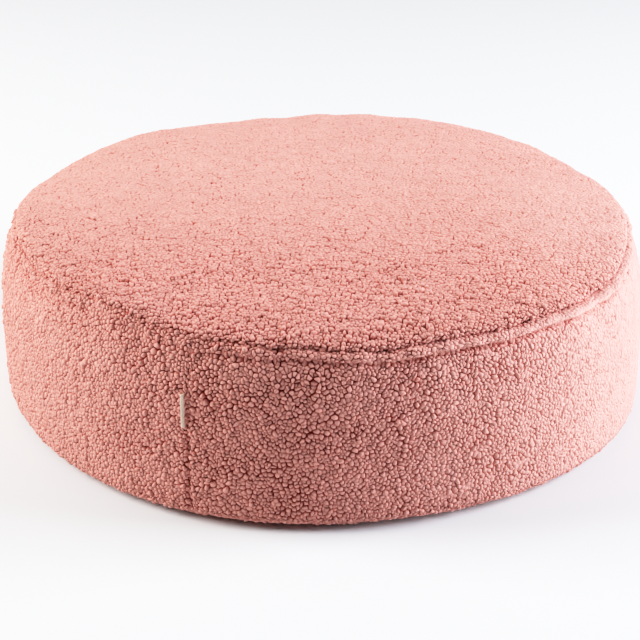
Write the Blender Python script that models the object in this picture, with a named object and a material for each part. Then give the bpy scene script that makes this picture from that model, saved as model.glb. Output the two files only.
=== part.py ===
"""A low round floor pouf of curly teddy cloth: one filled body and the folded label in its upright seam.

Metres, +Z up. The origin is on the floor, under the middle of the pouf's box, and the label faces -Y.
"""

import math

import bpy
import numpy as np

# ---------------------------------------------------------------- driving dimensions
RADIUS = 0.350  # of the side at its widest
HEIGHT = 0.209  # floor to the middle of the crown

TOP_SEAM_RADIUS = 0.330  # the outline where the top panel is sewn on
TOP_SEAM_HEIGHT = 0.187
BOTTOM_SEAM_RADIUS = 0.3485
BOTTOM_SEAM_HEIGHT = 0.0140
FLAT_RADIUS = 0.315  # the flat of the underside
UNDER_ROUND_SHARE = 0.8  # of the bottom seam's height, taken by the rounding under it

WIDEST_SHARE = 0.30  # how far up the side it is widest
LOWER_FULLNESS = 6.0  # exponents of the side's bulge: higher is squarer
UPPER_FULLNESS = 3.9
CROWN_SHARPNESS = 4.0  # exponents of the top's crown and of its rounded rim
RIM_SHARPNESS = 2.0

TOP_CREASE_DEPTH = 0.0050  # how far each seam pulls the cloth in
BOTTOM_CREASE_DEPTH = 0.0030
CREASE_HALF_WIDTH = 0.0030
LIP_DEPTH_SHARE = 0.2  # the point between the rib and the crease, as shares of the crease's depth
LIP_DROP_SHARE = 0.4  # and of its half width

RIB_WIDTH = 0.0090  # the band's turned allowance, just under the top seam
RIB_RISE = 0.0026
RIB_PROFILE = [(0.25, 0.7), (0.5, 1.0), (0.8, 0.75)]  # shares of its width, and of its rise there
RIB_GROOVE_SHARE = 0.5  # of the upright seam's depth, where that seam crosses the rib
UNDER_RIB_DEPTH = 0.0012

# The filling is uneven. Each row adds a wave round the pouf.
#               waves round, height of wave, angle of its crest in degrees
SIDE_WAVES = [
    (2, 0.0029, -49.0),
    (3, 0.0016, 47.0),
    (4, 0.0043, -25.0),
]
TOP_SEAM_WAVES = [
    (2, 0.0032, 39.0),
    (3, 0.0024, -5.0),
    (5, 0.0009, 7.0),
    (6, 0.0023, 1.0),
    (7, 0.0009, -23.0),
    (8, 0.0014, 0.0),
]

WAVE_FADE = 4.0  # exponent: how soon the top seam's waves fade on the way in

UPRIGHT_SEAM_ANGLE = -111.4  # degrees from +X
UPRIGHT_SEAM_DEPTH = 0.0036
UPRIGHT_SEAM_FLAT = 0.0020  # half width of its bottom, which holds the label
UPRIGHT_SEAM_HALF_WIDTH = 0.0065

LABEL_BOTTOM = 0.1032
LABEL_TOP = 0.1384
LABEL_STAND = 0.0026  # straight out of the seam
LABEL_BEND = 0.0030  # radius at which it then leans over to the left
LABEL_LEAN = 60.0  # degrees
LABEL_TIP = 0.0034  # straight on to its fold
LABEL_CLOTH = 0.0010
LABEL_GAP = 0.0005  # between its two layers
LABEL_BOW = 0.0006  # how much further left its fold is, halfway up
LABEL_CLEARANCE = 0.00035  # root to the seam's bottom
LABEL_ROWS = 9
BEND_STEPS = 6
FOLD_STEPS = 8

SEGMENTS = 72  # round the body, beside those of the upright seam
WALL_RINGS = 15
RIM_RINGS = 9
RIM_START = 0.004  # share of the top seam's radius, from the seam in to the rim's first ring
UNDERSIDE_SHARES = (0.35, 0.70, 0.92, 1.0)  # rings of the flat underside
CROWN_SHARES = (0.78, 0.68, 0.56, 0.42, 0.22)  # rings of the crown inside its rim

ROSE = (0.78, 0.47, 0.42)
IVORY = (0.78, 0.72, 0.58)


def waves(rows, angle):
    """The sum of the rows' waves at this angle in radians."""
    return sum(size * math.cos(count * (angle - math.radians(crest))) for count, size, crest in rows)


# ---------------------------------------------------------------- the body's outline
def side_radius(share):
    """The bulging side's radius, from 0 at the bottom seam to 1 at the top seam."""
    if share < WIDEST_SHARE:
        away = (WIDEST_SHARE - share) / WIDEST_SHARE
        return RADIUS - (RADIUS - BOTTOM_SEAM_RADIUS) * away**LOWER_FULLNESS
    away = (share - WIDEST_SHARE) / (1 - WIDEST_SHARE)
    return RADIUS - (RADIUS - TOP_SEAM_RADIUS) * away**UPPER_FULLNESS


def crown_height(share, seam_height):
    """The top panel's height at this share of the top seam's radius."""
    return seam_height + (HEIGHT - TOP_SEAM_HEIGHT) * (1 - share**CROWN_SHARPNESS) ** (1 / RIM_SHARPNESS)


def underside_points():
    """Radius and height down the middle of the floor side and round its lower edge."""
    points = [(FLAT_RADIUS * share, 0.0) for share in UNDERSIDE_SHARES]
    for step in (1, 2, 3):
        turn = math.radians(90 * step / 4)
        points.append(
            (
                FLAT_RADIUS + (BOTTOM_SEAM_RADIUS - FLAT_RADIUS) * math.sin(turn),
                BOTTOM_SEAM_HEIGHT * (1 - math.cos(turn)) * UNDER_ROUND_SHARE,
            )
        )
    points.append((BOTTOM_SEAM_RADIUS - BOTTOM_CREASE_DEPTH, BOTTOM_SEAM_HEIGHT))
    return points


def side_points(seam_height):
    """Radius, height and share of the upright seam's depth, up the band to its rib and the top seam."""
    tall = seam_height - BOTTOM_SEAM_HEIGHT
    rib_foot = 1 - (RIB_WIDTH + CREASE_HALF_WIDTH) / tall
    points = []
    for ring in range(WALL_RINGS + 1):
        share = CREASE_HALF_WIDTH / tall + (rib_foot - CREASE_HALF_WIDTH / tall) * ring / WALL_RINGS
        points.append((side_radius(share), BOTTOM_SEAM_HEIGHT + share * tall, 1.0))
    radius, height, _ = points[-1]
    points[-1] = (radius - UNDER_RIB_DEPTH, height, 1.0)
    for along, rise in RIB_PROFILE:
        share = rib_foot + along * RIB_WIDTH / tall
        radius, height = side_radius(share) + rise * RIB_RISE, BOTTOM_SEAM_HEIGHT + share * tall
        points.append((radius, height, RIB_GROOVE_SHARE))
    lip_height = seam_height - LIP_DROP_SHARE * CREASE_HALF_WIDTH
    points.append((TOP_SEAM_RADIUS - LIP_DEPTH_SHARE * TOP_CREASE_DEPTH, lip_height, 0.0))
    points.append((TOP_SEAM_RADIUS - TOP_CREASE_DEPTH, seam_height, 0.0))
    return points


def top_points(seam_height):
    """Radius and height over the top panel's rounded rim and up its crown."""
    points = []
    for ring in range(RIM_RINGS):
        turn = math.radians(90 * (ring + 1) / (RIM_RINGS + 1))
        share = 1 - (1 - CROWN_SHARES[0]) * (1 - math.cos(turn)) - RIM_START
        points.append((TOP_SEAM_RADIUS * share, crown_height(share, seam_height)))
    points += [(TOP_SEAM_RADIUS * share, crown_height(share, seam_height)) for share in CROWN_SHARES]
    return points


def seam_groove(angle):
    """The upright seam's depth at this angle."""
    off = (angle - math.radians(UPRIGHT_SEAM_ANGLE) + math.pi) % (2 * math.pi) - math.pi
    away = (abs(off) * RADIUS - UPRIGHT_SEAM_FLAT) / (UPRIGHT_SEAM_HALF_WIDTH - UPRIGHT_SEAM_FLAT)
    away = min(max(away, 0.0), 1.0)
    return UPRIGHT_SEAM_DEPTH * (1 - away * away * (3 - 2 * away))


def outline(angle):
    """The body's points at this angle, floor to crown, as radius and height."""
    seam_height = TOP_SEAM_HEIGHT + waves(TOP_SEAM_WAVES, angle)
    swell = 1 + waves(SIDE_WAVES, angle) / RADIUS
    groove = seam_groove(angle)
    points = underside_points()
    points += [(radius - depth * groove, height) for radius, height, depth in side_points(seam_height)]
    # The seam's waves fade towards the crown's middle, which is level.
    for radius, height in top_points(seam_height):
        fade = 1 - (radius / TOP_SEAM_RADIUS) ** WAVE_FADE
        points.append((radius, height - fade * (seam_height - TOP_SEAM_HEIGHT)))
    return [(radius * swell, height) for radius, height in points]


def body_angles():
    """Even steps round the body from the upright seam, with close ones across the seam."""
    seam = math.radians(UPRIGHT_SEAM_ANGLE)
    middle = (UPRIGHT_SEAM_FLAT + UPRIGHT_SEAM_HALF_WIDTH) / 2
    near = [0.0]
    for off in (UPRIGHT_SEAM_FLAT, middle, UPRIGHT_SEAM_HALF_WIDTH):
        near += [off / RADIUS, -off / RADIUS]
    even = [2 * math.pi * step / SEGMENTS for step in range(1, SEGMENTS)]
    return sorted(seam + off for off in near + even)


def box_middle():
    """The middle of the body's box from above, before it is moved to the origin."""
    widest = [(max(radius for radius, _ in outline(angle)), angle) for angle in body_angles()]
    across = [(radius * math.cos(angle), radius * math.sin(angle)) for radius, angle in widest]
    return [(min(side) + max(side)) / 2 for side in zip(*across)]


# ---------------------------------------------------------------- objects
def clear_scene():
    for thing in list(bpy.data.objects):
        bpy.data.objects.remove(thing, do_unlink=True)


def material(name, colour, roughness):
    made = bpy.data.materials.new(name)
    made.use_nodes = True
    shader = made.node_tree.nodes["Principled BSDF"]
    shader.inputs["Base Color"].default_value = (*colour, 1.0)
    shader.inputs["Roughness"].default_value = roughness
    shader.inputs["Metallic"].default_value = 0.0
    made.diffuse_color = (*colour, 1.0)
    return made


def object_from(name, points, faces, finish):
    mesh = bpy.data.meshes.new(name)
    mesh.from_pydata([tuple(map(float, point)) for point in points], [], faces)
    mesh.materials.append(finish)
    mesh.shade_smooth()
    mesh.validate()
    made = bpy.data.objects.new(name, mesh)
    bpy.context.collection.objects.link(made)
    return made


def rings_to_faces(rings, around, first=0):
    """Quads between rings of points that close on themselves."""
    faces = []
    for ring in range(rings - 1):
        for step in range(around):
            after = (step + 1) % around
            low, high = first + ring * around, first + (ring + 1) * around
            faces.append((low + step, low + after, high + after, high + step))
    return faces


def make_body(middle):
    angles = body_angles()
    columns = [outline(angle) for angle in angles]
    rings, around = len(columns[0]), len(angles)
    points = []
    for ring in range(rings):
        for angle, column in zip(angles, columns):
            radius, height = column[ring]
            points.append((radius * math.cos(angle), radius * math.sin(angle), height))
    points += [(0.0, 0.0, 0.0), (0.0, 0.0, HEIGHT)]
    points = np.array(points) - (middle[0], middle[1], 0.0)
    foot, crown = len(points) - 2, len(points) - 1
    faces = rings_to_faces(rings, around)
    last = (rings - 1) * around
    for step in range(around):
        after = (step + 1) % around
        faces.append((foot, after, step))
        faces.append((last + step, last + after, crown))
    return object_from("pouf_body", points, faces, material("rose_teddy", ROSE, 0.95))


def label_path():
    """Down the middle of the folded label, seen from above, from its root to the start of its fold.

    Each point is (out from the root, to the right, how far it has turned left in radians).
    """
    lean = math.radians(LABEL_LEAN)
    path = [(0.0, 0.0, 0.0)]
    for step in range(BEND_STEPS + 1):
        turn = lean * step / BEND_STEPS
        path.append((LABEL_STAND + LABEL_BEND * math.sin(turn), -LABEL_BEND * (1 - math.cos(turn)), turn))
    out, side, _ = path[-1]
    path.append((out + LABEL_TIP * math.cos(lean), side - LABEL_TIP * math.sin(lean), lean))
    return path


def layer_line(offset):
    """The line this far off the label's middle: out on its right, round the fold and back on its left."""
    path = label_path()
    right = [(out + offset * math.sin(turn), side + offset * math.cos(turn)) for out, side, turn in path[:-1]]
    left = [(out - offset * math.sin(turn), side - offset * math.cos(turn)) for out, side, turn in path[:-1]]
    out, side, lean = path[-1]
    fold = []
    for step in range(FOLD_STEPS + 1):
        turn = lean + math.radians(180 * step / FOLD_STEPS - 90)
        fold.append((out + offset * math.cos(turn), side - offset * math.sin(turn)))
    return right + fold + left[::-1]


def make_label(middle):
    angle = math.radians(UPRIGHT_SEAM_ANGLE)
    tall = TOP_SEAM_HEIGHT + waves(TOP_SEAM_WAVES, angle) - BOTTOM_SEAM_HEIGHT
    swell = 1 + waves(SIDE_WAVES, angle) / RADIUS
    away = np.array((math.cos(angle), math.sin(angle)))
    across = np.array((-math.sin(angle), math.cos(angle)))
    section = layer_line(LABEL_GAP / 2 + LABEL_CLOTH) + layer_line(LABEL_GAP / 2)[::-1]
    reach = max(out for out, _ in section)
    points = []
    for row in range(LABEL_ROWS):
        up = row / (LABEL_ROWS - 1)
        height = LABEL_BOTTOM + (LABEL_TOP - LABEL_BOTTOM) * up
        wall = side_radius((height - BOTTOM_SEAM_HEIGHT) / tall) - UPRIGHT_SEAM_DEPTH
        root = wall * swell + LABEL_CLEARANCE
        for out, side in section:
            bow = LABEL_BOW * math.sin(math.pi * up) * (out / reach) ** 2
            place = away * (root + out) + across * (side - bow)
            points.append((place[0] - middle[0], place[1] - middle[1], height))
    around = len(section)
    # The section runs clockwise from above, so its rings are joined the other way round.
    faces = [tuple(reversed(face)) for face in rings_to_faces(LABEL_ROWS, around)]
    last = (LABEL_ROWS - 1) * around
    for step in range(around // 2 - 1):
        ring = (step, step + 1, around - 2 - step, around - 1 - step)
        faces.append(ring)
        faces.append(tuple(last + corner for corner in reversed(ring)))
    return object_from("label", points, faces, material("ivory_ribbon", IVORY, 0.8))


clear_scene()
middle_of_box = box_middle()
make_body(middle_of_box)
make_label(middle_of_box)
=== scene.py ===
"""The looks of a low round floor pouf of curly teddy cloth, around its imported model.

Metres, +Z up, on the floor at z = 0, with the front towards -Y. The top panel, the side band and the
bottom panel are meshes of thousands of single curls; the label is a folded ribbon.
"""

import math

import bpy
import numpy as np
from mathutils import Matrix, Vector
from mathutils.kdtree import KDTree
from mathutils.geometry import delaunay_2d_cdt


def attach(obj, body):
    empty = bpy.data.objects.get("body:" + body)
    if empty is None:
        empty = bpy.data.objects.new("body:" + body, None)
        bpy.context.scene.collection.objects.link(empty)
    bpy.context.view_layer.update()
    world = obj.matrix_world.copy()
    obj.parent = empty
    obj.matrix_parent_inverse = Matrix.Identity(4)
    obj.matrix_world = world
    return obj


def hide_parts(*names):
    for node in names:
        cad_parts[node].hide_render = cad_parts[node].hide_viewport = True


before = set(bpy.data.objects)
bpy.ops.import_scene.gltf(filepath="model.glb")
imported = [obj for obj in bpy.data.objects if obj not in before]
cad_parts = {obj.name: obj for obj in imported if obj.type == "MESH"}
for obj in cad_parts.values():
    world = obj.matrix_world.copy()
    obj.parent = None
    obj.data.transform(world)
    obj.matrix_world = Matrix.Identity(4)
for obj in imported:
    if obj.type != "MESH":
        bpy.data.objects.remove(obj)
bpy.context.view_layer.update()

# ---- the pouf's outline, as in part.py
RADIUS = 0.350
TOP_SEAM_RADIUS = 0.330
TOP_SEAM_HEIGHT = 0.187
BOTTOM_SEAM_RADIUS = 0.3485
BOTTOM_SEAM_HEIGHT = 0.0140
FLAT_RADIUS = 0.315
CROWN_RISE = 0.022
WIDEST_SHARE = 0.30  # of the band's height, where it is the widest
LOWER_FULLNESS = 6.0  # powers of the curve below there and above it
UPPER_FULLNESS = 3.9
CROWN_SHARPNESS = 4.0
RIM_SHARPNESS = 2.0
WAVE_FADE = 4.0  # power of the share of the top's radius: how near the rim the seam's waves stay
# Waves round the pouf: how many, their size, and where one has its crest, in degrees from +X.
SIDE_WAVES = [(2, 0.0029, -49.0), (3, 0.0016, 47.0), (4, 0.0043, -25.0)]
TOP_SEAM_WAVES = [(2, 0.0032, 39.0), (3, 0.0024, -5.0), (5, 0.0009, 7.0)]
TOP_SEAM_WAVES += [(6, 0.0023, 1.0), (7, 0.0009, -23.0), (8, 0.0014, 0.0)]
SEAM_ANGLE = math.radians(-111.4)
BAND_TALL = TOP_SEAM_HEIGHT - BOTTOM_SEAM_HEIGHT
BAND_ROUND = 2 * math.pi * RADIUS
TABLE_MARGIN = 0.05  # of the band's table, in radians beyond the upright seam at each end

# ---- seams
TUCK = 0.0050  # how far each panel's cloth goes on inwards from its seam
CREASE_DEPTH = 0.0058  # of the top seam, if its sides turned in as far as level
CREASE_TURN = math.radians(62)  # how far they do turn in
SEAM_OVERLAP = 0.0022  # how far the curls of each panel reach past its seam, into the other's
RIM_FOOT = 0.0046  # how far the top panel curls down under its rim, to the seam
RIB_CENTRE = 0.0046  # below the top seam
RIB_HALF_WIDTH = 0.0042
RIB_RISE = 0.0032
UNDER_RIB = 0.0100  # below the top seam
UNDER_RIB_HALF_WIDTH = 0.0030
UNDER_RIB_DEPTH = 0.0022
FOOT_DEPTH = 0.0004  # of the bottom seam
FOOT_OVERLAP = 0.0018
GROOVE_DEPTH = 0.0026  # of the upright seam
GROOVE_HALF_WIDTH = 0.0036
GROOVE_ABOVE_LABEL = 0.25  # share of its depth above the label, where it hardly shows
GROOVE_FADE = 0.020  # the height over which it gets that shallow
GROOVE_SWAY = 0.0008  # of the upright seam, from side to side
GROOVE_SWAY_REACH = 0.020  # how far from the seam the sway is still felt
BAND_END = 0.0030  # how far each end of the band goes on into the upright seam
BAND_END_DEPTH = 0.0050  # how deep it goes there
RIM_REACH = 24  # power of the share of the top's radius: how near the seam the crumples stay
DRAW_REACH = 6  # the same for the seam's own wandering in and out

LABEL_BOTTOM = 0.1032
LABEL_TOP = 0.1384
LABEL_ROOT = 0.0060  # how far it goes on into the seam
LABEL_SIDE = 0.0031  # to the left of the seam's middle
LABEL_STAND = 0.0021  # straight out of the seam's bottom
LABEL_BEND = 0.0016  # radius at which it then leans over to the left
LABEL_LEAN = 60.0  # degrees
LABEL_TIP = 0.0006  # straight on to its fold
LABEL_CLOTH = 0.0005
LABEL_LOOP = 0.0008  # between its two layers, at the fold
LABEL_LOOP_AT_ROOT = 0.3  # the share of that at its root
LABEL_BOW = 0.0005  # of its fold, to the left, at mid height

# Points along each part of an outline's line, and then in the band's table and along the label.
WALL_STEPS = 460
CROWN_STEPS = 400
UNDER_STEPS = 60
CORNER_STEPS = 40
TURN_STEPS = 50
INNER_STEPS = 30
TABLE_ROUND = 1200
TABLE_ALONG = 520
LABEL_ROWS = 28
LABEL_ROOT_STEPS = 10
LABEL_BEND_STEPS = 8
LABEL_TIP_STEPS = 4
LABEL_FOLD_STEPS = 10

# Stretches round the pouf, in degrees from +X: the middle and half the length of each.
CRUMPLED = (-142, 40)  # the most crumpled part of the top seam, at the left of the front
LOW_LEFT = (-146, 38)  # lower curls on the band
LOW_RIGHT = (-24, 82)
FLAT_RIGHT = (-24, 74)  # flatter curls on the band
FLAT_RIB = (-44, 54)  # flatter curls on the rib
RIGHT_FRONT = (-45, 45)  # deeper curls beside the top seam

# Degrees round from +X, and how far the top seam is above its waves there.
SEAM_LIFT = [
    (-165, 0.0), (-149, -0.0012), (-130, 0.0025), (-118, -0.0020),
    (-111, -0.0020), (-104, 0.0009), (-92, 0.0018), (-81, -0.0020),
    (-70, 0.0014), (-57, -0.0006), (-48, 0.0015), (-38, -0.0015),
    (-29, 0.0004), (-15, 0.0),
]

# Degrees round from +X, the rib's share of its full rise, and the top crease's share of its full depth.
SEAM_STRENGTH = [
    (-180, 0.80, 0.90), (-165, 0.90, 0.95), (-150, 0.70, 0.60), (-140, 0.55, 0.35),
    (-130, 0.35, 0.20), (-120, 0.35, 0.34), (-110, 0.40, 0.45), (-102, 0.75, 0.85),
    (-85, 0.90, 1.00), (-75, 1.30, 0.80), (-62, 1.55, 1.25), (-50, 1.60, 1.35),
    (-30, 1.60, 1.45), (-15, 1.30, 1.60), (0, 1.00, 1.40), (15, 0.90, 0.90),
    (60, 0.90, 0.90), (120, 0.80, 0.80), (180, 0.80, 0.90),
]

# ---- curls
LOBE_SPACING = 0.0047
UNDER_SPACING = 0.0160  # of the lobes that lie flat on the floor
FINE_RIM = 0.018  # how far outside the flat underside the fine lobes begin
BAND_CURLS = (0.0078, 0.42, 0.74)  # a curl's width, and the heights of the dips between its lobes
TOP_CURLS = (0.0095, 0.50, 0.82)
JOINED = 0.85  # the share of the borders inside a curl that are shallow
ALIGNED = 0.94  # how nearly two lobes lie along the pile's direction to be joined across curls
ALIGNED_JOINED = 0.40  # the share of those that are
CLOSED_GAPS = 0.50  # the share of the gaps between the flattest curls that close up
CLOSING = (0.40, 0.40)  # the flatness where that begins, and its range
GAP_RISE = (-0.10, 0.14)  # the bottoms of the gaps, where the lobes' tips are at about 1
CURL_RISE = (0.80, 1.16)  # spread of the curls' heights, and then of the lobes' and of their shoulders'
LOBE_RISE = (0.78, 1.14)
SHOULDER_RISE = (0.70, 0.92)
UNEVENNESS = 0.14  # of the gaps' lines and of the tips' places
TOP_FLATNESS = 0.80  # of the curls' tops behind the middle
FRONT_ROUNDING = 0.65  # the share of that which they lose towards the front
RIGHT_FLATNESS = 0.80  # of the band's curls, at the right
FLAT_DIP = 0.97  # the height of the dips that the flattest lobes would come to
FLAT_DIP_SHARE = 0.8
CURL_HEIGHT = 0.0032
# The flanks' colour depth sets the painted shade on them.
FLANK_DEPTH = 0.78  # the colour's depth on the flank of a lobe, from 0 in a gap to 1 at a tip
TIP_RISE = 0.0003  # of the curls' tips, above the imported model's surface
SEAM_PINCH = 0.20  # share of its depth that the pile loses in a seam
SEAM_SINK = 0.0003
# Painted shade in the seams, the crease under the rib and the foot: the colour loses this share of its depth
# there.
SEAM_SHADE = 0.30  # share of the colour's depth that it loses there
WANDER = 0.0007  # shift of the lobes' places, to bend their cells' straight sides
ROW_STEP = 0.866  # between the rows of a honeycomb, as a share of its pitch
LEFT_OUT = 0.17  # the share of the honeycomb's cells that are left out
MIDDLE_STRIP = 0.265  # half the top's middle strip, as a share of its reach

# How deep the curls stand, as a share of CURL_HEIGHT, and how much painted shade darkens their gaps. For the
# top:
# behind, how much more at the front and near the seam, and the share that is lost at the right.
TOP_SHARE = (0.80, 1.10, 0.6, 0.32)
TOP_GAP_SHADE = (1.30, 1.70, 0.8, 0.60)
NEAR_CRUMPLED = 0.18  # of what the seam adds, along the crumpled stretch and at the right of the front
NEAR_RIGHT = 0.32
# Where each of those begins and over what length it comes: outwards, to the front, and to the right.
NEAR_SEAM = (0.285, 0.030)
TOP_FRONT = (-0.08, 0.38)
TOP_RIGHT = (0.12, 0.17)
TOP_RIGHT_FRONT = (-0.16, 0.24)
ROUNDING = (0.0, 0.28)  # the same for the rounder tips, to the front
# Painted shade in the gaps between curls: the relief at which it is full, its limit, and the power by which
# the colour follows it.
DEEP_RELIEF = 1.15  # the relief from which the gaps between curls have their full colour
GAP_SHADE_LIMIT = 1.30  # the limit of the gaps' darkness, and the power by which the colour follows it
GAP_SHADE_POWER = 1.5
# For the band: everywhere, and how much less or more on its stretches.
BAND_SHARE = 1.36
BAND_LOWER_LEFT = 0.44
BAND_LOWER_RIGHT = 0.84
BAND_MORE_CRUMPLED = 0.20
UPPER_BAND = (0.150, 0.025)  # the height where that begins, and its length
RIB_LOSS = 0.72  # the share that the curls on the flat stretch of the rib lose
FLAT_RIB_HALF_WIDTH = 0.0054
# For the bottom: the curls' share of CURL_HEIGHT, and the painted shade in their gaps.
UNDER_SHARE = 1.0
UNDER_GAP_SHADE = 0.87

# ---- colours, linear
# Painted shade: the gaps between curls and the lobes' flanks are coloured darker than the tips, from the
# first colour in the deepest gaps through DEEP_ROSE and ROSE to PALE_ROSE at the tips.
CREVICE_SHADE = (0.350, 0.048, 0.036)
DEEP_ROSE = (0.480, 0.124, 0.096)
ROSE = (0.595, 0.220, 0.177)
PALE_ROSE = (0.685, 0.297, 0.249)
RIBBON_LOW = (0.670, 0.500, 0.360)
RIBBON_HIGH = (0.900, 0.720, 0.560)

# ---- camera and light
CAMERA_ELEVATION = 24.66
CAMERA_DISTANCE = 2.275
CAMERA_AIM = (0.0010, 0.0, 0.0671)
CAMERA_LENS = 115.1
LIGHT_AIM = (0, 0, 0.1)
# Name, place, size, power in watts, and colour.
LIGHTS = [
    ("left", (-2.6, 0.05, 1.5), (1.6, 1.6), 172, (1.0, 1.0, 1.0)),
    ("right", (2.6, -0.05, 1.1), (1.8, 2.0), 250, (0.94, 1.0, 1.12)),
    ("above", (-1.0, 0.6, 2.8), (3.0, 2.0), 54, (1.0, 0.98, 0.96)),
]
WORLD_LIGHT = 0.035
# The brightest level the camera holds, and the tones it shows for some levels.
WHITE_LEVEL = 2.0
TONES = [(0.15, 0.155), (0.30, 0.314), (0.60, 0.570), (0.89, 0.760), (1.26, 0.880), (1.60, 0.955)]


def waves(rows, angle):
    return sum(size * np.cos(count * (angle - math.radians(crest))) for count, size, crest in rows)


def smooth(x):
    x = np.clip(x, 0.0, 1.0)
    return x * x * (3 - 2 * x)


def unit(values, low, length, margin):
    """Values as shares of a length from low on, with a margin at both its ends."""
    return np.clip((values - low + margin) / (length + 2 * margin), 0, 1)


def fade(values, span):
    """From 0 at the start of a span to 1 at its end. A span is its start and its length."""
    start, length = span
    return smooth((values - start) / length)


def bump(x):
    """1 in the middle, 0 from -1 outwards and from 1 outwards."""
    x = np.clip(np.abs(x), 0.0, 1.0)
    return 1 - x * x * (3 - 2 * x)


def degrees_of(angle):
    """From -180 to 180."""
    return (np.degrees(angle) + 180) % 360 - 180


def stretch(degrees, region):
    """1 in the middle of a stretch round the pouf, and 0 from its ends on."""
    middle, half_length = region
    return bump((degrees - middle) / half_length)


def wobble(angle, seed, size, low, high):
    """A small irregular wave round the pouf, from low to high waves a turn."""
    rng = np.random.default_rng(seed)
    counts = rng.integers(low, high + 1, 9)
    turns = rng.uniform(0, 2 * math.pi, 9)
    return size * sum(np.cos(c * angle + t) for c, t in zip(counts, turns)) / 3.0


def distance(points):
    """From the middle of a plane."""
    return np.hypot(points[:, 0], points[:, 1])


def swell(angle):
    """The side's radius as a share of RADIUS: its plan is slightly squared."""
    return 1 + waves(SIDE_WAVES, angle) / RADIUS


def box_middle():
    """The middle of the plan's box, which the pouf is centred on."""
    angle = np.linspace(0, 2 * math.pi, 1441)
    x = RADIUS * swell(angle) * np.cos(angle)
    y = RADIUS * swell(angle) * np.sin(angle)
    return (x.min() + x.max()) / 2, (y.min() + y.max()) / 2


MIDDLE = box_middle()


def place(radius, angle, height):
    radius = radius * swell(angle)
    x = radius * np.cos(angle) - MIDDLE[0]
    y = radius * np.sin(angle) - MIDDLE[1]
    return np.stack([x, y, height], -1)


def seam_lift(angle):
    """The top seam's height above its mean."""
    table = np.array(SEAM_LIFT)
    local = np.interp(degrees_of(angle), table[:, 0], table[:, 1])
    return waves(TOP_SEAM_WAVES, angle) + local + wobble(angle, 11, 0.0006, 14, 40)


def seam_draw(angle):
    """How much further in or out the top seam lies here."""
    return wobble(angle, 12, 0.0010, 7, 26)


def crumple(angle, seed):
    """Lumps of cloth along the most crumpled stretch of the top seam, at the left of the front."""
    return wobble(angle, seed, 0.0011, 50, 120) * stretch(degrees_of(angle), CRUMPLED)


def seam_strength(angle, column):
    """The strength table's rib (1) or crease (2) column at this angle, made a little uneven."""
    table = np.array(SEAM_STRENGTH, float)
    strength = np.interp(degrees_of(angle), table[:, 0], table[:, column])
    return strength * (1 + wobble(angle, 12 + column, 0.35, 20, 80))


def seam_overlap(crease):
    """How far the curls of each panel reach past the top seam: less where its crease is deep."""
    return SEAM_OVERLAP * np.clip(1.7 - crease, 0.2, 1.4)


def side_radius(share):
    """The band's radius at a share of the way up it."""
    low = (WIDEST_SHARE - share) / WIDEST_SHARE
    high = (share - WIDEST_SHARE) / (1 - WIDEST_SHARE)
    lower = RADIUS - (RADIUS - BOTTOM_SEAM_RADIUS) * np.clip(low, 0, 1) ** LOWER_FULLNESS
    upper = RADIUS - (RADIUS - TOP_SEAM_RADIUS) * np.clip(high, 0, 1) ** UPPER_FULLNESS
    return np.where(share < WIDEST_SHARE, lower, upper)


def band_profiles(angle):
    """The band at each angle, from its lower edge inside the pouf to its upper one.

    Returns the radius, the height, and how far in a seam each point is, from 0 to 1.
    """
    angle = angle[:, None]
    tall = BAND_TALL + seam_lift(angle)
    rib, crease = seam_strength(angle, 1), seam_strength(angle, 2)
    up = np.linspace(0, 1, WALL_STEPS)[None, :] * (tall - RIB_CENTRE)
    below = tall - up
    share = up / tall
    radius = side_radius(share) + share**3 * seam_draw(angle)
    radius = radius + crumple(angle, 31) * bump((below - 0.007) / 0.014)
    radius = radius + rib * RIB_RISE * bump((below - RIB_CENTRE) / RIB_HALF_WIDTH)
    under = rib * bump((below - UNDER_RIB) / UNDER_RIB_HALF_WIDTH)
    foot = smooth(1 - up / 0.0040)
    radius = radius - UNDER_RIB_DEPTH * under - FOOT_DEPTH * foot
    # The rib's upper side rounds inwards to the top seam, and both edges then go on, level.
    turn = np.linspace(0, CREASE_TURN, TURN_STEPS)[None, 1:]
    seam = TOP_SEAM_RADIUS - CREASE_DEPTH * crease + seam_draw(angle)
    upper = radius[:, -1:] - (radius[:, -1:] - seam) * (1 - np.cos(turn))
    inner = np.linspace(0, 1, INNER_STEPS)[None, 1:]
    flat = np.zeros_like(angle * inner)
    radii = [radius[:, :1] - TUCK * inner[:, ::-1], radius, upper, upper[:, -1:] - TUCK * inner]
    lower_height = BOTTOM_SEAM_HEIGHT - FOOT_OVERLAP * smooth(1 - up / 0.0050)
    upper_height = BOTTOM_SEAM_HEIGHT + tall - RIB_CENTRE * (1 - np.sin(turn))
    upper_height = upper_height + seam_overlap(crease) * smooth(turn / CREASE_TURN)
    heights = [lower_height[:, :1] + flat, lower_height + up, upper_height, upper_height[:, -1:] + flat]
    # The crease under the rib and the foot count partly as in a seam: pinched pile, and painted shade.
    in_wall = np.maximum(0.55 * under, 0.3 * foot)
    inside = [1 + flat, in_wall, smooth((turn - 0.8) / 0.7) * crease, 1 + flat]
    return [np.concatenate(values, 1) for values in (radii, heights, inside)]


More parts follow.
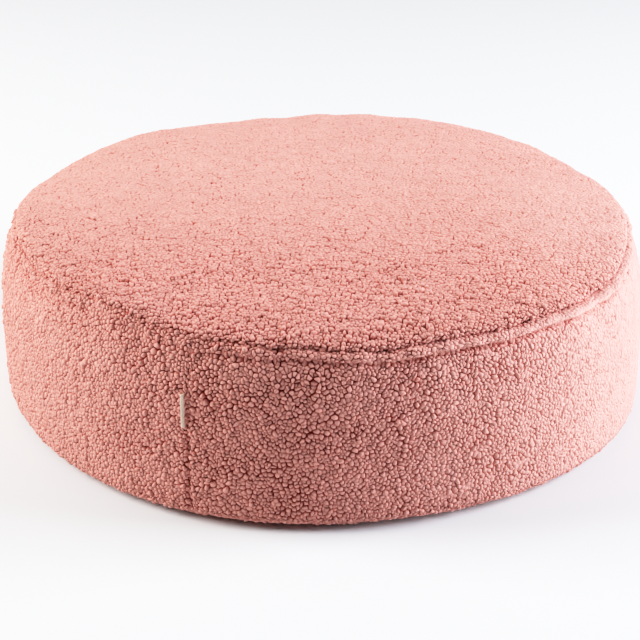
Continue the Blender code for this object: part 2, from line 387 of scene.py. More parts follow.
def band_table():
    """The band's profiles in even steps round it and along its cloth.

    Before them comes the mean length of the cloth above the bottom seam.
    """
    angle = SEAM_ANGLE + np.linspace(-TABLE_MARGIN, 2 * math.pi + TABLE_MARGIN, TABLE_ROUND)
    profiles = band_profiles(angle)
    steps = np.hypot(np.diff(profiles[0], axis=1), np.diff(profiles[1], axis=1))
    along = np.concatenate([np.zeros((len(angle), 1)), np.cumsum(steps, axis=1)], 1)
    along = along - along[:, INNER_STEPS - 1 : INNER_STEPS]
    even = np.linspace(0, 1, TABLE_ALONG)
    tables = []
    for values in profiles:
        rows = []
        for line, row in zip(along, values):
            rows.append(np.interp(-TUCK + even * (line[-1] + TUCK), line, row))
        tables.append(np.array(rows))
    return [along[:, -1].mean(), *tables]


def look_up(table, row, column):
    """Values between those of a table, at fractional rows and columns."""
    row = np.clip(row, 0, table.shape[0] - 1.001)
    column = np.clip(column, 0, table.shape[1] - 1.001)
    low, left = row.astype(int), column.astype(int)
    down, across = row - low, column - left
    upper = table[low, left] * (1 - across) + table[low, left + 1] * across
    lower = table[low + 1, left] * (1 - across) + table[low + 1, left + 1] * across
    return upper * (1 - down) + lower * down


BAND_LONG, BAND_RADII, BAND_HEIGHTS, BAND_INSIDE = band_table()


def band_surface(flat):
    """The band's outline, and how far in a seam it is.

    flat is the way round from the upright seam, and the way up from the bottom seam.
    """
    turn = flat[:, 0] / RADIUS
    row = (turn + TABLE_MARGIN) / (2 * math.pi + 2 * TABLE_MARGIN) * (BAND_RADII.shape[0] - 1)
    column = (flat[:, 1] + TUCK) / (BAND_LONG + TUCK) * (BAND_RADII.shape[1] - 1)
    tables = (BAND_RADII, BAND_HEIGHTS, BAND_INSIDE)
    radius, height, inside = (look_up(table, row, column) for table in tables)
    # Into the upright seam.
    off = np.minimum(flat[:, 0], BAND_ROUND - flat[:, 0])
    below_top = smooth((LABEL_TOP - BOTTOM_SEAM_HEIGHT - flat[:, 1]) / GROOVE_FADE)
    pull = GROOVE_ABOVE_LABEL + (1 - GROOVE_ABOVE_LABEL) * below_top
    groove = pull * bump(off / GROOVE_HALF_WIDTH)
    beyond = np.clip(-off / BAND_END, 0, 1)
    # The upright seam and the band's ends in it count as in a seam: pinched pile, and painted shade.
    inside = np.maximum(inside, np.maximum(0.6 * groove**2, beyond))
    sway = wobble(flat[:, 1] * 2 * math.pi / BAND_TALL, 15, GROOVE_SWAY, 3, 12)
    sway = sway * bump(off / GROOVE_SWAY_REACH)
    radius = radius - GROOVE_DEPTH * groove - BAND_END_DEPTH * beyond**0.8
    return place(radius, SEAM_ANGLE + turn + sway / RADIUS, height), inside


def top_profile():
    """The cloth's line from the crown's middle out, round the rim and into the seam.

    Returns the distance along it, the radius, the height, and how far in the seam each point is.
    """
    share = np.sin(np.linspace(0, math.pi / 2, CROWN_STEPS))
    radius = TOP_SEAM_RADIUS * share
    rise = CROWN_RISE - RIM_FOOT
    height = TOP_SEAM_HEIGHT + RIM_FOOT + rise * (1 - share**CROWN_SHARPNESS) ** (1 / RIM_SHARPNESS)
    turn = np.linspace(0, CREASE_TURN, TURN_STEPS)[1:]
    inner = np.linspace(0, 1, INNER_STEPS)[1:]
    turned = TOP_SEAM_RADIUS - CREASE_DEPTH * (1 - np.cos(turn))
    radius = np.concatenate([radius, turned, turned[-1] - TUCK * inner])
    dropped = TOP_SEAM_HEIGHT + RIM_FOOT * (1 - np.sin(turn))
    height = np.concatenate([height, dropped, dropped[-1] + 0 * inner])
    # How far in the seam: the pile is pinched there and gets painted shade.
    inside = np.concatenate([0 * share, smooth((turn - 0.7) / 0.8), 1 + 0 * inner])
    return measured(radius, height, inside)


def measured(radius, height, inside):
    """A line's points, with the distance along it before them."""
    along = np.append(0, np.cumsum(np.hypot(np.diff(radius), np.diff(height))))
    return along, radius, height, inside


TOP_LINE = top_profile()
RIM_ALONG = TOP_LINE[0][CROWN_STEPS - 1]


def top_surface(flat):
    """The top panel's outline, and how far in its seam it is. flat is the cloth laid out round its middle."""
    along = distance(flat)
    angle = np.arctan2(flat[:, 1], flat[:, 0])
    radius, height, inside = (np.interp(along, TOP_LINE[0], row) for row in TOP_LINE[1:])
    under = along > RIM_ALONG
    share = np.where(under, 1.0, radius / TOP_SEAM_RADIUS)
    crease = seam_strength(angle, 2)
    radius = np.where(under, TOP_SEAM_RADIUS - (TOP_SEAM_RADIUS - radius) * crease, radius)
    near_rim = share**RIM_REACH
    radius = radius + share**DRAW_REACH * seam_draw(angle) + near_rim * crumple(angle, 32)
    height = height + share**WAVE_FADE * seam_lift(angle) + near_rim * (1 - inside) * crumple(angle, 33)
    height = height - seam_overlap(crease) * smooth((along - RIM_ALONG) / 0.0060)
    return place(radius, angle, height), inside * crease


def bottom_profile():
    """As top_profile, from the middle of the underside."""
    turn = np.linspace(0, math.pi / 2, CORNER_STEPS)[1:]
    inner = np.linspace(0, 1, INNER_STEPS)[1:]
    level = np.zeros(UNDER_STEPS)
    wide = BOTTOM_SEAM_RADIUS - FLAT_RADIUS
    radius = np.concatenate([np.linspace(0, FLAT_RADIUS, UNDER_STEPS), FLAT_RADIUS + wide * np.sin(turn)])
    radius = np.concatenate([radius, BOTTOM_SEAM_RADIUS - (FOOT_DEPTH + TUCK) * inner])
    risen = BOTTOM_SEAM_HEIGHT * (1 - np.cos(turn))
    height = np.concatenate([level, risen, BOTTOM_SEAM_HEIGHT + 0 * inner])
    # The top of the rounding counts partly as in the seam: pinched pile, and painted shade.
    inside = np.concatenate([level, 0.3 * smooth((turn - 1.1) / 0.4), 1 + 0 * inner])
    return measured(radius, height, inside)


UNDER_LINE = bottom_profile()


def bottom_surface(flat):
    """The bottom panel's outline, laid out round the middle of the underside and seen from below."""
    along = distance(flat)
    angle = np.arctan2(-flat[:, 1], flat[:, 0])
    radius, height, inside = (np.interp(along, UNDER_LINE[0], row) for row in UNDER_LINE[1:])
    return place(radius, angle, height), inside


# ---- curls
def normals_of(surface, flat):
    """The outline's outward directions, from small steps on the flat cloth."""
    step = 0.0006
    right = surface(flat + (step, 0))[0] - surface(flat - (step, 0))[0]
    up = surface(flat + (0, step))[0] - surface(flat - (0, step))[0]
    normal = np.cross(right, up)
    return normal / np.maximum(np.linalg.norm(normal, axis=1), 1e-12)[:, None]


def triangles_between(points):
    """The Delaunay triangles of the points, by their numbers."""
    found = delaunay_2d_cdt([Vector(p) for p in points.tolist()], [], [], 0, 1e-9)
    return np.array(found[2], int)


def settled(points, inside, rounds=2, share=0.40):
    """Points moved towards the middle of their neighbours, so that none is crowded."""
    for _ in range(rounds):
        corners = triangles_between(points)
        total = np.zeros_like(points)
        count = np.zeros(len(points))
        for a, b in ((0, 1), (1, 2), (2, 0)):
            for c, d in ((a, b), (b, a)):
                np.add.at(total, corners[:, c], points[corners[:, d]])
                np.add.at(count, corners[:, c], 1)
        middle = total / np.maximum(count, 1)[:, None]
        points = np.where(inside[:, None], points + share * (middle - points), points)
    return points


def scattered(low, high, spacing, seed):
    """Irregular points over a rectangle: a shaken honeycomb with some cells left out."""
    rng = np.random.default_rng(seed)
    pitch = spacing * 0.90
    rows = int((high[1] - low[1]) / (pitch * ROW_STEP)) + 1
    columns = int((high[0] - low[0]) / pitch) + 1
    x, y = np.meshgrid(np.arange(columns), np.arange(rows))
    points = np.stack([low[0] + pitch * (x + 0.5 * (y % 2)), low[1] + pitch * ROW_STEP * y], -1)
    points = points.reshape(-1, 2)
    points = points + rng.uniform(-0.46, 0.46, points.shape) * pitch
    return points[rng.random(len(points)) > LEFT_OUT]


def ripple(points, wave, turn, shift):
    """A plane wave over the points."""
    return np.cos(points[:, 0] * wave * math.cos(turn) + points[:, 1] * wave * math.sin(turn) + shift)


def wander(points):
    """A small smooth sideways shift that bends the lobes out of their straight-sided cells."""
    rng = np.random.default_rng(5)
    total = np.zeros_like(points)
    for _ in range(14):
        turn = rng.uniform(0, 2 * math.pi)
        wave = 2 * math.pi / rng.uniform(0.0065, 0.016)
        way = rng.uniform(0, 2 * math.pi)
        size = ripple(points, wave, turn, rng.uniform(0, 6.3))
        total += size[:, None] * (math.cos(way), math.sin(way))
    return total * WANDER / 2.6


def clusters_of(points, spacing, seed):
    """The curl that each lobe belongs to: the nearest of a wider scatter of middles, with some waver."""
    rng = np.random.default_rng(seed)
    margin = 2 * spacing
    middles = scattered(points.min(0) - margin, points.max(0) + margin, spacing, seed + 1)
    tree = KDTree(len(middles))
    for index, (x, y) in enumerate(middles.tolist()):
        tree.insert((x, y, 0), index)
    tree.balance()
    shaken = points + rng.uniform(-0.22, 0.22, points.shape) * spacing
    return np.array([tree.find((x, y, 0))[1] for x, y in shaken.tolist()])


def patches(points, size, seed):
    """A smooth random value from 0 to 1 over the plane, with patches of about this size."""
    rng = np.random.default_rng(seed)
    total = np.zeros(len(points))
    for _ in range(12):
        turn = rng.uniform(0, 2 * math.pi)
        wave = 2 * math.pi / (size * rng.uniform(1.2, 3.0))
        total += ripple(points, wave, turn, rng.uniform(0, 6.3))
    return np.clip(0.5 + total / 8.0, 0, 1)


def crossed(first, second):
    return first[:, 0] * second[:, 1] - first[:, 1] * second[:, 0]


def circle_middles(points, corners):
    """Where the cells of each triangle's three corners meet, held near the triangle."""
    a, b, c = (points[corners[:, i]] for i in range(3))
    ab, ac = b - a, c - a
    ab2, ac2 = (ab**2).sum(1), (ac**2).sum(1)
    right = ac[:, 1] * ab2 - ab[:, 1] * ac2
    up = ab[:, 0] * ac2 - ac[:, 0] * ab2
    meet = a + np.stack([right, up], -1) / (2 * crossed(ab, ac))[:, None]
    centroid = (a + b + c) / 3
    away = meet - centroid
    far = np.linalg.norm(away, axis=1)
    limit = 0.28 * (np.linalg.norm(ab, axis=1) + np.linalg.norm(ac, axis=1))
    return centroid + away * np.minimum(1, limit / np.maximum(far, 1e-12))[:, None]


def half_borders(corners, kept):
    """The borders of each kept lobe, each seen from the lobe.

    Returns the lobe, its neighbour, the meetings at the border's two ends, the border's number, and the
    first half of each border.
    """
    start = corners.ravel()
    end = corners[:, [1, 2, 0]].ravel()
    left = np.repeat(np.arange(len(corners)), 3)
    key = start.astype(np.int64) * len(kept) + end
    back = end.astype(np.int64) * len(kept) + start
    order = np.argsort(key)
    twin = order[np.minimum(np.searchsorted(key[order], back), len(key) - 1)]
    use = (key[twin] == back) & kept[start]
    right = left[twin]
    start, end, left, right, key, back = (x[use] for x in (start, end, left, right, key, back))
    _, first, border = np.unique(np.minimum(key, back), return_index=True, return_inverse=True)
    return start, end, left, right, border.reshape(-1), first


def joined_borders(here, line, same_curl, flatness, rng, seed):
    """Which borders are shallow: most of those inside a curl, and some of those between curls."""
    joined = same_curl & (rng.random(len(here)) < JOINED)
    lie = 2 * math.pi * patches(here, 0.012, seed)
    aligned = np.abs(line[:, 0] * np.cos(lie) + line[:, 1] * np.sin(lie)) / np.linalg.norm(line, axis=1)
    joined |= (aligned > ALIGNED) & (rng.random(len(here)) < ALIGNED_JOINED)
    joined |= rng.random(len(here)) < CLOSED_GAPS * fade(flatness, CLOSING)
    return joined


def meeting_rises(meetings, sides, rise, joined):
    """Each meeting's height, a little below its borders' mean, and the share of them that are deep."""
    total, number, deep = np.zeros(meetings), np.zeros(meetings), np.zeros(meetings)
    for side in sides:
        np.add.at(total, side, rise)
        np.add.at(number, side, 1)
        np.add.at(deep, side, ~joined)
    number = np.maximum(number, 1)
    return total / number * 0.9 - 0.10 - 0.12 * (deep == number), deep / number


def numbered(keys):
    """The different keys in order, and each key's number among them."""
    different, number = np.unique(keys, return_inverse=True)
    return different, number.reshape(-1)


def curl_mesh(points, kept, seed, curl, flatness=0.0):
    """The lobes at the kept points, each in its cell among its neighbours, grouped into curls.

    Returns the vertices' flat places, heights as a share of CURL_HEIGHT, depths for the painted shade and
    tones for the colour, the triangles, each triangle's lobe, and the edges at the bottom of the gaps between
    curls.
    """
    rng = np.random.default_rng(seed)
    curl_width, dip_low, dip_high = curl
    flatness = np.broadcast_to(flatness, len(points))
    group = clusters_of(points, curl_width, seed + 100)
    open_here = patches(points, 0.045, seed + 7)
    corners = triangles_between(points)
    a, b, c = (points[corners[:, i]] for i in range(3))
    flip = crossed(b - a, c - a) < 0
    corners[flip] = corners[flip][:, ::-1]
    meet = circle_middles(points, corners)
    meetings = len(corners)
    start, end, left, right, border, first = half_borders(corners, kept)

    # Borders inside a curl are shallow, and those between curls are deep.
    one, two = start[first], end[first]
    here, line = points[one], points[two] - points[one]
    joined = joined_borders(here, line, group[one] == group[two], flatness[one], rng, seed + 9)
    dip = rng.uniform(dip_low, dip_high, len(first))
    dip = dip + (FLAT_DIP - dip) * FLAT_DIP_SHARE * flatness[one]
    rise = np.where(joined, dip, rng.uniform(*GAP_RISE, len(first)))
    low, high = meet[left[first]], meet[right[first]]
    across = high - low
    sideways = rng.uniform(-UNEVENNESS, UNEVENNESS, len(first))
    middles = (low + high) / 2 + np.stack([-across[:, 1], across[:, 0]], -1) * sideways[:, None]
    shallow = joined[border]
    corner_rise, deep_share = meeting_rises(meetings, (left, right), rise[border], shallow)

    # Each lobe's size, height and apex.
    gap = np.zeros(len(points))
    sides = np.zeros(len(points))
    np.add.at(gap, start, np.linalg.norm(points[end] - points[start], axis=1))
    np.add.at(sides, start, 1)
    size = gap / np.maximum(sides, 1) / LOBE_SPACING
    group_rise = rng.uniform(*CURL_RISE, group.max() + 1)[group]
    top = np.clip(size, 0.6, 1.4) ** 0.7 * rng.uniform(*LOBE_RISE, len(points)) * group_rise
    top = 1 + (top - 1) * (1 - 0.6 * flatness)
    shift = rng.uniform(-UNEVENNESS, UNEVENNESS, points.shape)
    apex = points + shift * LOBE_SPACING * np.minimum(size, 1)[:, None]

    # Shoulder points, one for each lobe and meeting, between apex and meeting. They keep further from the
    # meetings of deep borders, which opens the gaps.
    lobe_key = start.astype(np.int64) * meetings
    shoulders, shoulder = numbered(np.append(lobe_key + left, lobe_key + right))
    owner, at = shoulders // meetings, shoulders % meetings
    reach = 0.84 - (0.06 + 0.16 * open_here[owner]) * deep_share[at]
    reach = reach + rng.uniform(-0.05, 0.05, len(shoulders))
    reach = reach - 0.15 * flatness[owner] * deep_share[at]
    shoulder_places = apex[owner] + (meet[at] - apex[owner]) * reach[:, None]
    shoulder_share = rng.uniform(*SHOULDER_RISE, len(shoulders))
    shoulder_rise = top[owner] * (1 - (1 - shoulder_share) * (1 - 0.7 * flatness[owner]))

    # The vertices: apexes, shoulders, meetings, and the middles of the shallow borders.
    lobes, lobe = numbered(start)
    used, met = numbered(np.append(left, right))
    soft = np.flatnonzero(joined)
    soft_index = np.full(len(first), -1)
    soft_index[soft] = np.arange(len(soft))
    base = np.cumsum([0, len(lobes), len(shoulders), len(used)])
    flat = np.concatenate([apex[lobes], shoulder_places, meet[used], middles[soft]])
    heights = np.concatenate([top[lobes], shoulder_rise, corner_rise[used], rise[soft]])
    # The colour's depth, which sets the painted shade: 1 at the apexes, FLANK_DEPTH on the shoulders, and the
    # gaps' own heights at the meetings and borders.
    flanks = np.full(len(shoulders), FLANK_DEPTH)
    depths = np.concatenate([np.ones(len(lobes)), flanks, corner_rise[used], rise[soft]])
    tone = 0.6 * rng.random(len(points)) + 0.4 * rng.random(group.max() + 1)[group]
    tones = np.concatenate([tone[lobes], tone[owner], np.full(len(used) + len(soft), 0.5)])

    # The triangles of each half-border, with its shoulders qa and qb and its meetings va and vb.
    qa, qb = shoulder[: len(start)] + base[1], shoulder[len(start) :] + base[1]
    va, vb = met[: len(start)] + base[2], met[len(start) :] + base[2]
    mid = soft_index[border] + base[3]
    always = np.full(len(start), True)
    faces = [
        ((lobe, qb, qa), always),
        ((vb, va, qa), ~shallow),
        ((vb, qa, qb), ~shallow),
        ((vb, mid, qb), shallow),
        ((qb, mid, qa), shallow),
        ((mid, va, qa), shallow),
    ]
    owners = np.concatenate([start[which] for _, which in faces])
    faces = np.concatenate([np.stack(corner, -1)[which] for corner, which in faces])
    creases = np.stack([va, vb], -1)[~shallow]
    return flat, heights, depths, faces, owners, creases, tones


def grown_mesh(surface, relief, curls, chosen, uv_of):
    """A mesh of the chosen curls, grown from the outline along its normals."""
    flat, heights, depths, faces, owners, creases, tones = curls
    faces = faces[chosen(owners)]
    used, compact = np.unique(faces, return_inverse=True)
    faces = compact.reshape(faces.shape)
    flat, heights, depths, tones = flat[used], heights[used], depths[used], tones[used]
    laid = flat + wander(flat)
    outline, inside = surface(laid)
    share, dark = relief(outline)
    pile = CURL_HEIGHT * (1 - SEAM_PINCH * inside) * share
    rise = (heights - 1) * pile + TIP_RISE - SEAM_SINK * inside
    places = outline + normals_of(surface, laid) * rise[:, None]
    places[:, 2] = np.maximum(places[:, 2], 0.0)
    # Painted shade: the gaps' colour darkens more where the relief is deeper, and all of it darkens in the
    # seams.
    depths = 1 - (1 - depths) * np.clip(dark, 0, GAP_SHADE_LIMIT) ** GAP_SHADE_POWER
    depths = depths * (1 - SEAM_SHADE * inside)
    new_name = np.full(used.max() + 1, -1)
    new_name[used] = np.arange(len(used))
    creases = new_name[creases[(creases <= used.max()).all(1)]]
    creases = creases[(creases >= 0).all(1)]
    return places, faces, depths, tones, creases, uv_of(flat)


def mesh_object(name, places, faces, depths, tones, creases, uvs, finish):
    mesh = bpy.data.meshes.new(name)
    mesh.vertices.add(len(places))
    mesh.vertices.foreach_set("co", places.astype(np.float32).ravel())
    mesh.loops.add(faces.size)
    mesh.loops.foreach_set("vertex_index", faces.astype(np.int32).ravel())
    mesh.polygons.add(len(faces))
    mesh.polygons.foreach_set("loop_start", np.arange(0, faces.size, 3, dtype=np.int32))
    mesh.update(calc_edges=True)
    mesh.polygons.foreach_set("use_smooth", np.ones(len(faces), bool))
    for label, values in (("depth", depths), ("tone", tones)):
        attribute = mesh.attributes.new(label, "FLOAT", "POINT")
        attribute.data.foreach_set("value", values.astype(np.float32))
    layer = mesh.uv_layers.new(name="OFBake")
    layer.data.foreach_set("uv", uvs[faces.ravel()].astype(np.float32).ravel())
    mark_sharp(mesh, creases)
    mesh.materials.append(finish)
    mesh.validate()
    return linked(name, mesh)


def linked(name, data):
    """A new object in the scene."""
    made = bpy.data.objects.new(name, data)
    bpy.context.scene.collection.objects.link(made)
    return made


def mark_sharp(mesh, creases):
    """Marks the edges at the bottom of the gaps, so that the shading breaks there."""
    edges = np.zeros(len(mesh.edges) * 2, np.int32)
    mesh.edges.foreach_get("vertices", edges)
    edges = np.sort(edges.reshape(-1, 2), axis=1).astype(np.int64)
    creases = np.sort(creases, axis=1).astype(np.int64)
    total = len(mesh.vertices)
    sharp = np.isin(edges[:, 0] * total + edges[:, 1], creases[:, 0] * total + creases[:, 1])
    attribute = mesh.attributes.new("sharp_edge", "BOOLEAN", "EDGE")
    attribute.data.foreach_set("value", sharp)


def teddy_part(name, surface, relief, curls, chosen, uv_of, finish):
    made = mesh_object(name, *grown_mesh(surface, relief, curls, chosen, uv_of), finish)
    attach(made, "root")


# ---- materials
def new_material(name):
    made = bpy.data.materials.new(name)
    made.use_nodes = True
    tree = made.node_tree
    return made, tree, tree.nodes["Principled BSDF"]


def set_inputs(node, values):
    for name, value in values.items():
        node.inputs[name].default_value = value


def ramp(tree, stops, source):
    """Colours between the stops, by the source's value."""
    node = tree.nodes.new("ShaderNodeValToRGB")
    while len(node.color_ramp.elements) < len(stops):
        node.color_ramp.elements.new(0.5)
    for element, (place, colour) in zip(node.color_ramp.elements, stops):
        element.position = place
        element.color = (*colour, 1)
    tree.links.new(source, node.inputs[0])
    return node.outputs[0]


def noise(tree, coords, scale, detail=2.0, rough=0.5):
    node = tree.nodes.new("ShaderNodeTexNoise")
    set_inputs(node, {"Scale": scale, "Detail": detail, "Roughness": rough})
    tree.links.new(coords, node.inputs["Vector"])
    return node.outputs["Fac"]


def maths(tree, how, *values):
    node = tree.nodes.new("ShaderNodeMath")
    node.operation = how
    for slot, value in enumerate(values):
        if isinstance(value, float):
            node.inputs[slot].default_value = value
        else:
            tree.links.new(value, node.inputs[slot])
    return node.outputs[0]


def multiplied(tree, first, second):
    """One colour times another."""
    node = tree.nodes.new("ShaderNodeMix")
    node.data_type = "RGBA"
    node.blend_type = "MULTIPLY"
    node.inputs[0].default_value = 1.0
    tree.links.new(first, node.inputs[6])
    tree.links.new(second, node.inputs[7])
    return node.outputs[2]


def attribute(tree, name):
    node = tree.nodes.new("ShaderNodeAttribute")
    node.attribute_name = name
    return node.outputs["Fac"]


def roughen(tree, shader, height, strength, depth):
    """Fine relief in the shading only."""
    node = tree.nodes.new("ShaderNodeBump")
    set_inputs(node, {"Strength": strength, "Distance": depth})
    tree.links.new(height, node.inputs["Height"])
    tree.links.new(node.outputs[0], shader.inputs["Normal"])


def teddy_material():
    """Curly pile: pale at the tips and darker in the gaps by painted shade, mottled, and furry close up."""
    made, tree, shader = new_material("teddy_cloth")
    coords = tree.nodes.new("ShaderNodeTexCoord").outputs["Object"]
    depth = attribute(tree, "depth")
    tone = attribute(tree, "tone")
    fibre = noise(tree, coords, 900.0, 3.0, 0.6)
    patch = noise(tree, coords, 14.0)
    # Painted shade: the colour darkens from the tips down into the gaps, by the depth attribute, mottled by
    # the fibre noise.
    mottled = maths(tree, "ADD", depth, maths(tree, "MULTIPLY_ADD", fibre, 0.44, -0.22))
    lit = ramp(tree, [(0.0, CREVICE_SHADE), (0.30, DEEP_ROSE), (0.62, ROSE), (1.0, PALE_ROSE)], mottled)
    # The curls' own tones, and then wide patches, as a share of the colour.
    shade = maths(tree, "MULTIPLY_ADD", tone, 0.22, 0.89)
    shade = maths(tree, "MULTIPLY", shade, maths(tree, "MULTIPLY_ADD", patch, 0.16, 0.92))
    grey = tree.nodes.new("ShaderNodeCombineColor")
    for channel in range(3):
        tree.links.new(shade, grey.inputs[channel])
    tree.links.new(multiplied(tree, lit, grey.outputs[0]), shader.inputs["Base Color"])
    set_inputs(shader, {"Roughness": 0.92, "Specular IOR Level": 0.08})
    set_inputs(shader, {"Sheen Weight": 0.05, "Sheen Roughness": 0.45, "Sheen Tint": (1.0, 0.86, 0.84, 1)})
    roughen(tree, shader, noise(tree, coords, 560.0, 3.0, 0.6), 0.50, 0.0014)
    return made


def ribbon_material():
    """Ivory woven ribbon: fine cross threads, with a slub here and there."""
    made, tree, shader = new_material("ivory_ribbon")
    coords = tree.nodes.new("ShaderNodeTexCoord").outputs["Object"]
    weave = tree.nodes.new("ShaderNodeTexWave")
    weave.bands_direction = "Z"
    set_inputs(weave, {"Scale": 700.0, "Distortion": 1.2})
    tree.links.new(coords, weave.inputs["Vector"])
    slub = noise(tree, coords, 420.0)
    amount = maths(tree, "MULTIPLY_ADD", weave.outputs["Fac"], 0.55, maths(tree, "MULTIPLY", slub, 0.45))
    lit = ramp(tree, [(0.0, RIBBON_LOW), (1.0, RIBBON_HIGH)], amount)
    tree.links.new(lit, shader.inputs["Base Color"])
    set_inputs(shader, {"Roughness": 0.62, "Sheen Weight": 0.15})
    roughen(tree, shader, amount, 0.4, 0.0002)
    return made


# ---- the three panels
def crumpled_here(places):
    """1 where the top seam is the most crumpled, and 0 elsewhere."""
    return stretch(np.degrees(np.arctan2(places[:, 1], places[:, 0])), CRUMPLED)


def graded(row, front, near_seam, right):
    """The top's share, or the painted shade in its gaps, from its row, by place."""
    behind, more_front, more_seam, lost = row
    return (behind + more_front * front + more_seam * near_seam) * (1 - lost * right)


def top_relief(places):
    """The top's curls are pressed flat, less and less towards the front; it also gives the painted shade in
    their gaps.
    """
    right_front = stretch(np.degrees(np.arctan2(places[:, 1], places[:, 0])), RIGHT_FRONT)
    near_seam = NEAR_CRUMPLED * crumpled_here(places) + NEAR_RIGHT * right_front
    near_seam = fade(distance(places), NEAR_SEAM) * near_seam
    front = fade(-places[:, 1], TOP_FRONT)
    right = fade(places[:, 0], TOP_RIGHT) * fade(-places[:, 1], TOP_RIGHT_FRONT)
    share = graded(TOP_SHARE, front, near_seam, right)
    return share, graded(TOP_GAP_SHADE, front, near_seam, right) / DEEP_RELIEF


def band_relief(places):
    """The band's curls are lower at the left of the front and at the right, lowest on the rib there; their
    gaps' painted shade follows.
    """
    turn = np.arctan2(places[:, 1] + MIDDLE[1], places[:, 0] + MIDDLE[0])
    degrees = np.degrees(turn)
    below = TOP_SEAM_HEIGHT + seam_lift(turn) - places[:, 2]
    rib = bump((below - RIB_CENTRE) / FLAT_RIB_HALF_WIDTH) * stretch(degrees, FLAT_RIB)
    crumpled = crumpled_here(places) * fade(places[:, 2], UPPER_BAND)
    share = BAND_SHARE - BAND_LOWER_LEFT * stretch(degrees, LOW_LEFT)
    share = share - BAND_LOWER_RIGHT * stretch(degrees, LOW_RIGHT) + BAND_MORE_CRUMPLED * crumpled
    share = share * (1 - RIB_LOSS * rib)
    return share, share / DEEP_RELIEF


# The bottom's curls: their share of CURL_HEIGHT, and the painted shade in their gaps.
def under_relief(places):
    return np.full(len(places), UNDER_SHARE), np.full(len(places), UNDER_GAP_SHADE)


def make_top(finish):
    """The top panel, in three strips across it."""
    reach = TOP_LINE[0][-1]
    edge = reach + 0.012  # so that the outermost lobes have neighbours
    points = scattered((-edge, -edge), (edge, edge), LOBE_SPACING, seed=21)
    points = points[distance(points) < edge]
    points = settled(points, distance(points) < edge - 0.004)
    flatness = TOP_FLATNESS * (1 - FRONT_ROUNDING * fade(-points[:, 1], ROUNDING))
    curls = curl_mesh(points, distance(points) < reach, seed=22, curl=TOP_CURLS, flatness=flatness)
    cut = MIDDLE_STRIP * reach
    for name, low, high in (("left", -edge, -cut), ("middle", -cut, cut), ("right", cut, edge)):

        def uv_of(flat, low=low, high=high):
            across = unit(flat[:, 0], low, high - low, 0.01)
            return np.stack([across, unit(flat[:, 1], -edge, 2 * edge, 0)], -1)

        def chosen(owner, low=low, high=high):
            return (points[owner, 0] >= low) & (points[owner, 0] < high)

        teddy_part("top_panel_" + name, top_surface, top_relief, curls, chosen, uv_of, finish)


def make_band(finish):
    """The side band, in three lengths."""
    low, high = np.array((-BAND_END, -TUCK)), np.array((BAND_ROUND + BAND_END, BAND_LONG))
    points = scattered(low - 0.012, high + 0.012, LOBE_SPACING, seed=31)
    points = settled(points, ((points > low - 0.006) & (points < high + 0.006)).all(1))
    kept = ((points > low) & (points < high)).all(1)
    flatness = RIGHT_FLATNESS * stretch(np.degrees(SEAM_ANGLE + points[:, 0] / RADIUS), FLAT_RIGHT)
    curls = curl_mesh(points, kept, seed=32, curl=BAND_CURLS, flatness=flatness)
    third = BAND_ROUND / 3
    for number, name in enumerate(("right", "back", "left")):

        def uv_of(flat, start=number * third):
            across = unit(flat[:, 0], start, third, 0.015)
            return np.stack([across, unit(flat[:, 1], low[1], high[1] - low[1], 0.01)], -1)

        def chosen(owner, number=number):
            return np.clip(points[owner, 0] // third, 0, 2) == number

        teddy_part("band_" + name, band_surface, band_relief, curls, chosen, uv_of, finish)


def make_bottom(finish):
    """The bottom panel: fine curls round its edge, and wide flattened ones under the weight."""
    reach = UNDER_LINE[0][-1]
    edge = reach + 0.014
    flat_edge = FLAT_RADIUS + FINE_RIM
    fine = scattered((-edge, -edge), (edge, edge), LOBE_SPACING, seed=41)
    wide = scattered((-edge, -edge), (edge, edge), UNDER_SPACING, seed=42)
    fine = fine[(distance(fine) < edge) & (distance(fine) > flat_edge)]
    wide = wide[distance(wide) < flat_edge - UNDER_SPACING / 2]
    points = np.concatenate([fine, wide])
    points = settled(points, distance(points) < edge - 0.004)
    curls = curl_mesh(points, distance(points) < reach, seed=43, curl=BAND_CURLS)

    def uv_of(flat):
        return np.clip(0.5 + flat / (2 * edge), 0, 1)

    teddy_part("bottom_panel", bottom_surface, under_relief, curls, lambda owner: owner >= 0, uv_of, finish)


# ---- the label
def label_line():
    """The ribbon's middle line seen from above: out, round and back.

    Its points are (out of the seam's bottom, to the right).
    """
    lean = math.radians(LABEL_LEAN)
    path = []
    for step in range(LABEL_ROOT_STEPS):
        path.append((-LABEL_ROOT + (LABEL_ROOT + LABEL_STAND) * step / LABEL_ROOT_STEPS, 0.0, 0.0))
    for step in range(LABEL_BEND_STEPS + 1):
        turn = lean * step / LABEL_BEND_STEPS
        path.append((LABEL_STAND + LABEL_BEND * math.sin(turn), -LABEL_BEND * (1 - math.cos(turn)), turn))
    out, side, _ = path[-1]
    for step in range(1, LABEL_TIP_STEPS + 1):
        on = LABEL_TIP * step / LABEL_TIP_STEPS
        path.append((out + on * math.cos(lean), side - on * math.sin(lean), lean))
    opened = LABEL_LOOP_AT_ROOT + (1 - LABEL_LOOP_AT_ROOT) * smooth(np.arange(len(path)) / len(path))
    half = LABEL_LOOP / 2 * opened
    right, left = [], []
    for (out, side, turn), h in zip(path, half):
        right.append((out + h * math.sin(turn), side + h * math.cos(turn)))
        left.append((out - h * math.sin(turn), side - h * math.cos(turn)))
    turns = [lean + math.radians(180 / LABEL_FOLD_STEPS * step - 90) for step in range(1, LABEL_FOLD_STEPS)]
    fold = [(out + half[-1] * math.cos(turn), side - half[-1] * math.sin(turn)) for turn in turns]
    return right + fold + left[::-1]


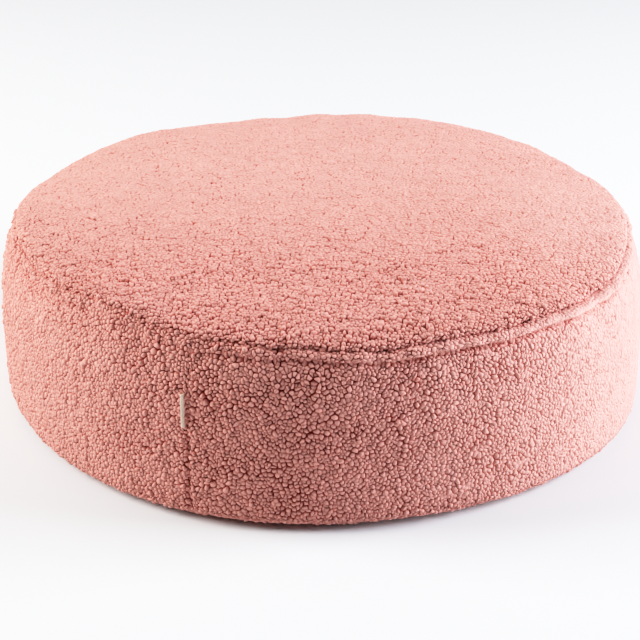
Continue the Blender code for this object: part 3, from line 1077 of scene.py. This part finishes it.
def make_label(finish):
    """The folded ribbon, following the wall's lean up the upright seam."""
    line = np.array(label_line(), float)
    along = np.gradient(line, axis=0)
    along /= np.linalg.norm(along, axis=1)[:, None]
    across = np.stack([-along[:, 1], along[:, 0]], -1)
    section = np.concatenate([line + across * LABEL_CLOTH / 2, (line - across * LABEL_CLOTH / 2)[::-1]])
    out = np.array([math.cos(SEAM_ANGLE), math.sin(SEAM_ANGLE)])
    side = np.array([-math.sin(SEAM_ANGLE), math.cos(SEAM_ANGLE)])
    reach = section[:, 0].max()
    points = []
    for row in range(LABEL_ROWS):
        up = row / (LABEL_ROWS - 1)
        height = LABEL_BOTTOM + (LABEL_TOP - LABEL_BOTTOM) * up
        wall = band_surface(np.array([[0.0, height - BOTTOM_SEAM_HEIGHT]]))[0][0]
        bow = LABEL_BOW * math.sin(math.pi * up) * np.clip(section[:, 0] / reach, 0, 1) ** 2
        root = out * (wall[:2] @ out) - side * (np.array(MIDDLE) @ side)
        places = root + section[:, :1] * out + (section[:, 1:] - bow[:, None] - LABEL_SIDE) * side
        points += [(*place, height) for place in places.tolist()]
    around = len(section)
    faces = []
    for row in range(LABEL_ROWS - 1):
        for step in range(around):
            after = (step + 1) % around
            low, high = row * around, (row + 1) * around
            faces.append((low + step, high + step, high + after, low + after))
    last = (LABEL_ROWS - 1) * around
    for step in range(around // 2 - 1):
        ring = (step, step + 1, around - 2 - step, around - 1 - step)
        faces.append(ring)
        faces.append(tuple(last + corner for corner in reversed(ring)))
    mesh = bpy.data.meshes.new("folded_label")
    mesh.from_pydata(points, [], faces)
    mesh.shade_smooth()
    mesh.materials.append(finish)
    mesh.validate()
    made = linked("folded_label", mesh)
    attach(made, "root")
    return made


# ---- stage, camera and light
def make_floor():
    finish, _, shader = new_material("pale_floor")
    set_inputs(shader, {"Base Color": (0.72, 0.72, 0.72, 1), "Roughness": 0.9, "Specular IOR Level": 0.0})
    bpy.ops.mesh.primitive_plane_add(size=60, location=(0, 0, -0.0002))
    floor = bpy.context.object
    floor.name = "floor"
    floor.data.materials.append(finish)


def make_world():
    world = bpy.data.worlds.new("studio")
    world.use_nodes = True
    set_inputs(world.node_tree.nodes["Background"], {"Color": (1, 1, 1, 1), "Strength": WORLD_LIGHT})
    bpy.context.scene.world = world


def facing(place, aim):
    """The rotation that looks from the place at the aim."""
    return (Vector(aim) - Vector(place)).to_track_quat("-Z", "Y").to_euler()


def area_light(name, place, size, power, colour):
    light = bpy.data.lights.new(name, "AREA")
    light.shape = "RECTANGLE"
    light.size, light.size_y = size
    light.energy = power
    light.color = colour
    made = linked(name, light)
    made.location = place
    made.rotation_euler = facing(made.location, LIGHT_AIM)


def make_camera():
    lens = bpy.data.cameras.new("camera")
    lens.sensor_width = 36
    lens.lens = CAMERA_LENS
    lens.clip_end = 100
    made = linked("camera", lens)
    tilt = math.radians(CAMERA_ELEVATION)
    made.location = Vector(CAMERA_AIM) + CAMERA_DISTANCE * Vector((0, -math.cos(tilt), math.sin(tilt)))
    made.rotation_euler = facing(made.location, CAMERA_AIM)
    bpy.context.scene.camera = made


def set_tones():
    """A camera's response: straight for dark tones, with a soft shoulder for bright ones."""
    view = bpy.context.scene.view_settings
    view.view_transform = "Standard"
    view.use_curve_mapping = True
    mapping = view.curve_mapping
    mapping.white_level = (WHITE_LEVEL, WHITE_LEVEL, WHITE_LEVEL)
    points = mapping.curves[3].points
    for level, shown in TONES:
        points.new(level / WHITE_LEVEL, shown)
    mapping.update()


teddy = teddy_material()
make_top(teddy)
make_band(teddy)
make_bottom(teddy)
label = make_label(ribbon_material())
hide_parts("pouf_body")
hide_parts("label")

make_floor()
make_world()
for light in LIGHTS:
    area_light(*light)
make_camera()
set_tones()
